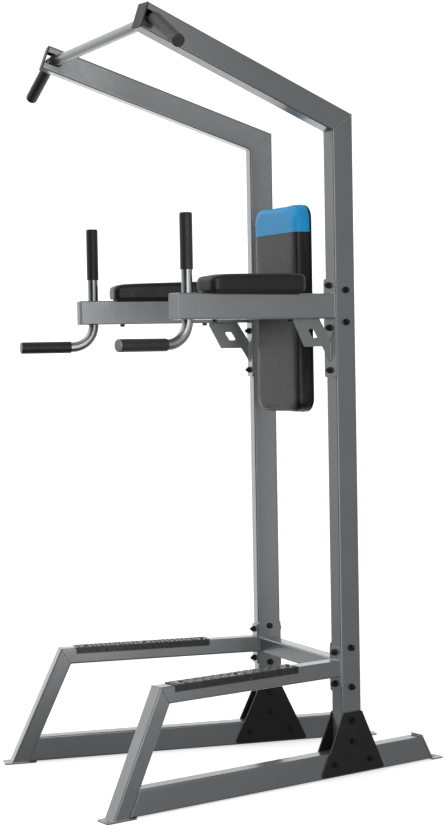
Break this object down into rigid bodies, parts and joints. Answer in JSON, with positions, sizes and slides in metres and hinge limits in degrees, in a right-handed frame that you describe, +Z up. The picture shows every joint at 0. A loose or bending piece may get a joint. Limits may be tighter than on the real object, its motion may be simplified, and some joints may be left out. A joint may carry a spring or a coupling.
{
  "type": "power tower",
  "caption": "Free-standing steel gym tower with a high pull-up bar, forward arms with padded rests and dip handles, a backrest and low step rails.",
  "frame": {"origin": "on the floor, under the middle of the footprint", "axes": "+Z up; -Y is the way the user faces, where the booms, arms and step rails reach; +X is the user's left"},
  "size_m": [1.1856, 1.2495, 2.2782],
  "materials": {
    "frame_paint": "silver-grey metallic powder coat",
    "black_paint": "black powder coat",
    "black_steel": "black oxide, satin",
    "bright_steel": "plated tube, bright satin",
    "grip_rubber": "smooth black rubber, matt",
    "black_plastic": "moulded, satin",
    "grey_plastic": "moulded, satin",
    "light_plastic": "moulded, satin",
    "tread": "moulded tread with raised diagonal bars",
    "vinyl": "upholstery vinyl, fine grain",
    "board": "black backing board"
  },
  "bodies": {
    "root": {"arm_and_step_bolts": "black_steel", "arm_brace_left": "frame_paint", "arm_brace_right": "frame_paint", "arm_end_cap_left": "grey_plastic", "arm_end_cap_right": "grey_plastic", "arm_left": "frame_paint", "arm_pad_board_left": "board", "arm_pad_board_right": "board", "arm_pad_bolts": "black_steel", "arm_pad_left": "vinyl", "arm_pad_right": "vinyl", "arm_plate_left": "frame_paint", "arm_plate_right": "frame_paint", "arm_right": "frame_paint", "backrest_board": "board", "backrest_bracket": "frame_paint", "backrest_cushion": "vinyl", "base_rail_left": "frame_paint", "base_rail_right": "frame_paint", "boom_end_cap_left": "black_plastic", "boom_end_cap_right": "black_plastic", "boom_left": "frame_paint", "boom_right": "frame_paint", "crossbar_bolts": "black_steel", "dip_grip_lower_left": "grip_rubber", "dip_grip_lower_right": "grip_rubber", "dip_grip_upper_left": "grip_rubber", "dip_grip_upper_right": "grip_rubber", "dip_handle_left": "bright_steel", "dip_handle_right": "bright_steel", "dip_plugs_lower": "light_plastic", "frame_nuts": "black_steel", "front_foot_plate_left": "frame_paint", "front_foot_plate_right": "frame_paint", "front_leg_left": "frame_paint", "front_leg_right": "frame_paint", "grip_plugs": "black_plastic", "gusset_bolts": "black_steel", "gusset_inner_left": "black_paint", "gusset_inner_right": "black_paint", "gusset_outer_left": "black_paint", "gusset_outer_right": "black_paint", "lower_crossbar": "frame_paint", "lower_crossbar_plates": "frame_paint", "panel_screws": "black_steel", "pull_up_bar": "frame_paint", "pull_up_grip_left": "grip_rubber", "pull_up_grip_right": "grip_rubber", "rear_foot_plate_left": "frame_paint", "rear_foot_plate_right": "frame_paint", "step_cover_left": "tread", "step_cover_right": "tread", "step_rail_left": "frame_paint", "step_rail_plate_left": "frame_paint", "step_rail_plate_right": "frame_paint", "step_rail_right": "frame_paint", "upper_crossbar": "frame_paint", "upper_crossbar_plates": "frame_paint", "upright_left": "frame_paint", "upright_right": "frame_paint"}
  },
  "joints": []
}
